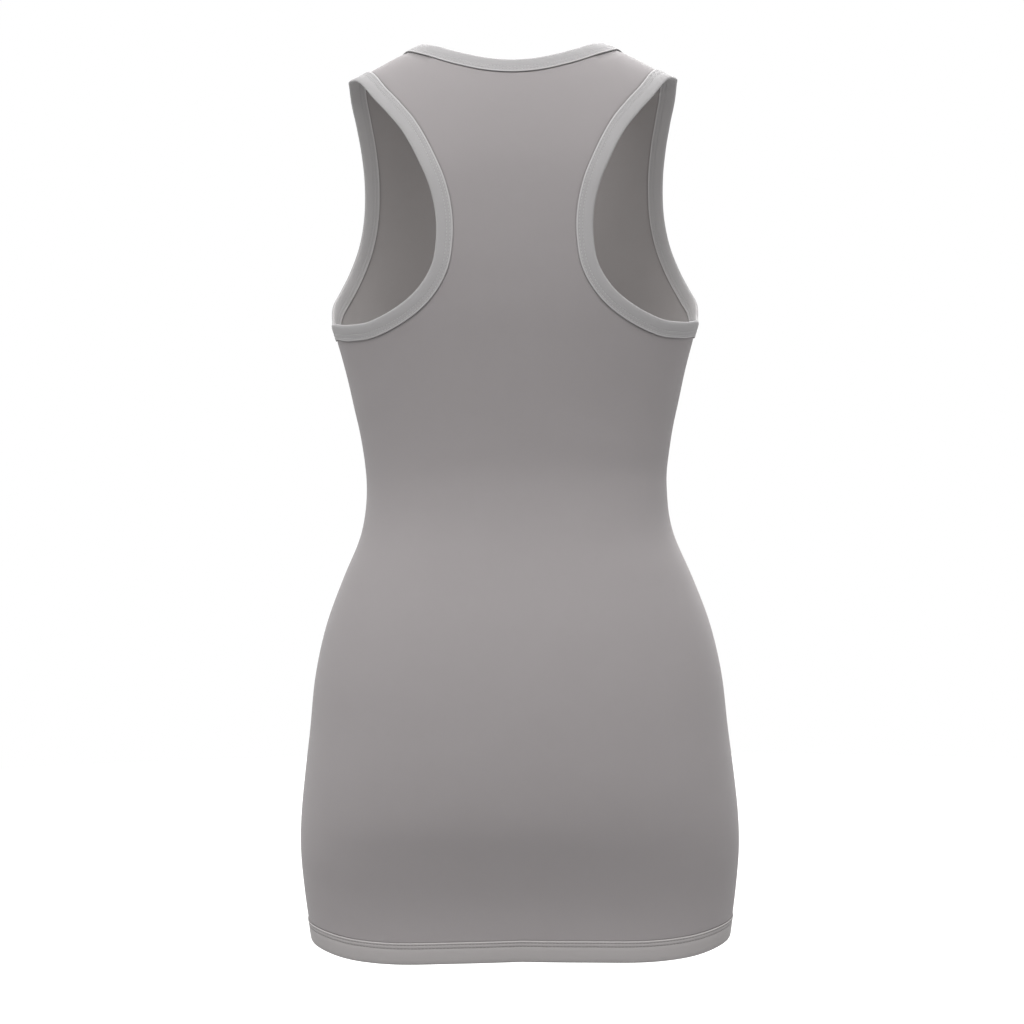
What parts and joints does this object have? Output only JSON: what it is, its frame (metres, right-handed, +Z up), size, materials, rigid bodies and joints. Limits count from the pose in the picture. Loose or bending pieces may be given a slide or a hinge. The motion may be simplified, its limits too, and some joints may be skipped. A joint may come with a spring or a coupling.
{
  "type": "sleeveless racerback mini dress",
  "caption": "Fitted sleeveless mini dress in fine knit with a racerback, bound neck and armholes and a stitched hem, in its hollow worn shape.",
  "frame": {"origin": "middle of the shoulder line: level with the neck ends of the shoulder seams, in the plane of the shoulder and side seams", "axes": "+Z up along the worn dress, -Y out of its front, +X towards the wearer's left"},
  "size_m": [0.3914, 0.2593, 0.8023],
  "materials": {
    "panel_knit": "matt fine knit",
    "binding_knit": "smooth folded knit, a little lighter",
    "hem_knit": "matt fine knit, folded and twin stitched"
  },
  "bodies": {
    "root": {"back_panel": "panel_knit", "front_panel": "panel_knit", "neck_binding": "binding_knit", "left_armhole_binding": "binding_knit", "right_armhole_binding": "binding_knit", "hem_band": "hem_knit"}
  },
  "joints": []
}
